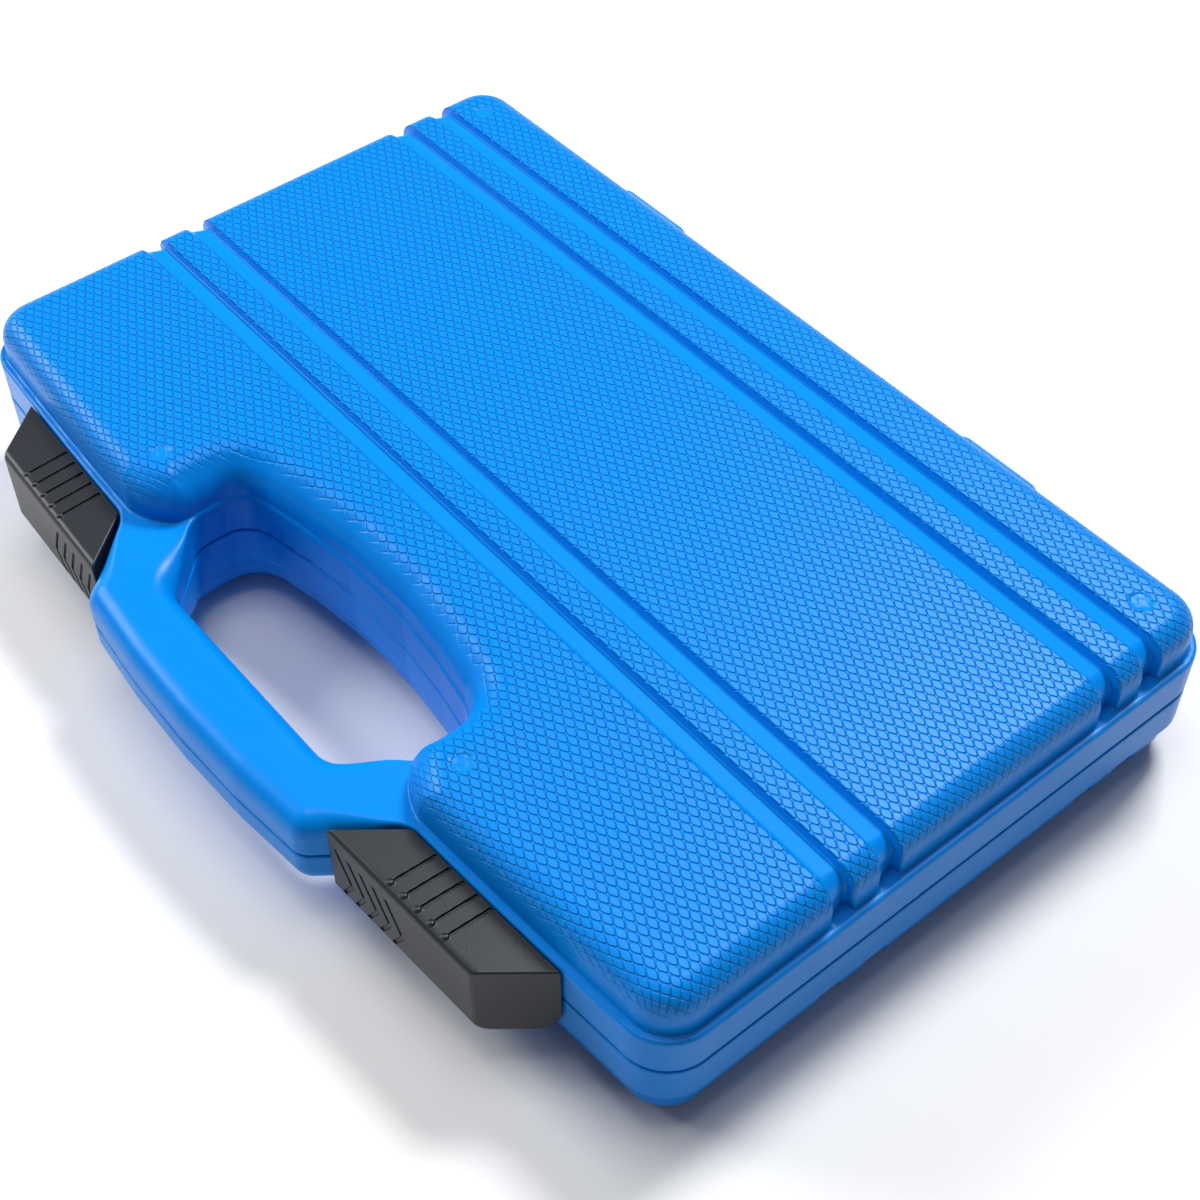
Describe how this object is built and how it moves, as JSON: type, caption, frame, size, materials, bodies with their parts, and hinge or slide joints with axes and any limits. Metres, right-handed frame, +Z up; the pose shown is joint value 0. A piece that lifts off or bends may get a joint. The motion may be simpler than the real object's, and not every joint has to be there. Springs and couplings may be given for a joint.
{
  "type": "socket wrench set in a plastic case",
  "caption": "Flat blow-moulded tool case with a textured lid, snap latches and a moulded handle, holding a ratchet, sockets, extensions and a sliding T-bar.",
  "frame": {"origin": "centre of the closed case's bounding box, at its bottom face", "axes": "+X along the case to the right seen from the handle, +Y from the handle towards the hinges, +Z up through the lid"},
  "size_m": [0.3, 0.2228, 0.05],
  "materials": {
    "shell_blue": "blow-moulded, diamond texture on the panels, smooth satin borders",
    "tray_grey": "satin, moulded pockets",
    "foam": "open-cell foam",
    "latch_black": "satin with fine ribs",
    "pin_steel": "drawn wire",
    "screw_steel": "black oxide",
    "chrome": "bright and satin chrome plate",
    "grip": "moulded grip with blue bands",
    "insert_rubber": "soft rubber"
  },
  "bodies": {
    "base": {"base_shell": "shell_blue", "tool_tray": "tray_grey", "hinge_pin_left": "pin_steel", "latch_pin_left": "pin_steel", "hinge_pin_right": "pin_steel", "latch_pin_right": "pin_steel", "ratchet_body": "chrome", "ratchet_cover": "chrome", "extension_long": "chrome", "extension_short": "chrome", "t_bar": "chrome", "step_up_adaptor": "chrome", "spark_socket_16": "chrome", "spark_socket_21": "chrome", "ratchet_grip": "grip", "cover_screws": "screw_steel", "extension_balls": "pin_steel", "spark_inserts": "insert_rubber", "socket_8": "chrome", "socket_9": "chrome", "socket_10": "chrome", "socket_11": "chrome", "socket_12": "chrome", "socket_13": "chrome", "socket_14": "chrome", "socket_15": "chrome", "socket_16": "chrome", "socket_17": "chrome", "socket_18": "chrome", "socket_19": "chrome", "socket_20": "chrome", "socket_21": "chrome", "socket_22": "chrome", "deep_socket_10": "chrome", "deep_socket_13": "chrome", "deep_socket_14": "chrome"},
    "lid": {"lid_shell": "shell_blue", "lid_liner": "foam"},
    "latch_left": {"latch_left": "latch_black"},
    "latch_right": {"latch_right": "latch_black"},
    "drive_gear": {"drive_gear": "chrome"},
    "direction_lever": {"direction_lever": "chrome"},
    "pawl": {"pawl": "pin_steel"},
    "release_button": {"release_button": "chrome"},
    "detent_ball": {"detent_ball": "pin_steel"},
    "t_bar_head": {"t_bar_head": "chrome"}
  },
  "joints": [
    {"name": "lid_hinge", "type": "hinge", "parent": "base", "child": "lid", "pos_m": [0, 0.1075, 0.025], "axis": [-1, 0, 0], "range_deg": [0, 180]},
    {"name": "latch_left_hinge", "type": "hinge", "parent": "base", "child": "latch_left", "pos_m": [-0.0873, -0.09187, 0.0181], "axis": [0.9988, -0.0495, 0], "range_deg": [0, 76]},
    {"name": "latch_right_hinge", "type": "hinge", "parent": "base", "child": "latch_right", "pos_m": [0.0873, -0.09187, 0.0181], "axis": [0.9988, 0.0495, 0], "range_deg": [0, 76]},
    {"name": "gear_spin", "type": "hinge", "parent": "base", "child": "drive_gear", "pos_m": [-0.122, 0.0746, 0.0175], "axis": [0, 0, 1], "continuous": true},
    {"name": "lever_turn", "type": "hinge", "parent": "base", "child": "direction_lever", "pos_m": [-0.1024, 0.0746, 0.0275], "axis": [0, 0, 1], "range_deg": [-25, 25]},
    {"name": "pawl_rock", "type": "hinge", "parent": "base", "child": "pawl", "pos_m": [-0.122, 0.0746, 0.024], "axis": [0, 0, 1], "range_deg": [-7, 7]},
    {"name": "button_press", "type": "slide", "parent": "drive_gear", "child": "release_button", "axis": [0, 0, -1], "range_m": [0, 0.002], "stiffness_N_per_m": 800},
    {"name": "ball_retract", "type": "slide", "parent": "drive_gear", "child": "detent_ball", "axis": [-1, 0, 0], "range_m": [0, 0.0006]},
    {"name": "t_bar_slide", "type": "slide", "parent": "base", "child": "t_bar_head", "axis": [1, 0, 0], "range_m": [-0.08, 0.056]}
  ],
  "couplings": [
    {"joint": "pawl_rock", "follows": "lever_turn", "ratio": -0.26},
    {"joint": "ball_retract", "follows": "button_press", "ratio": 0.3}
  ]
}
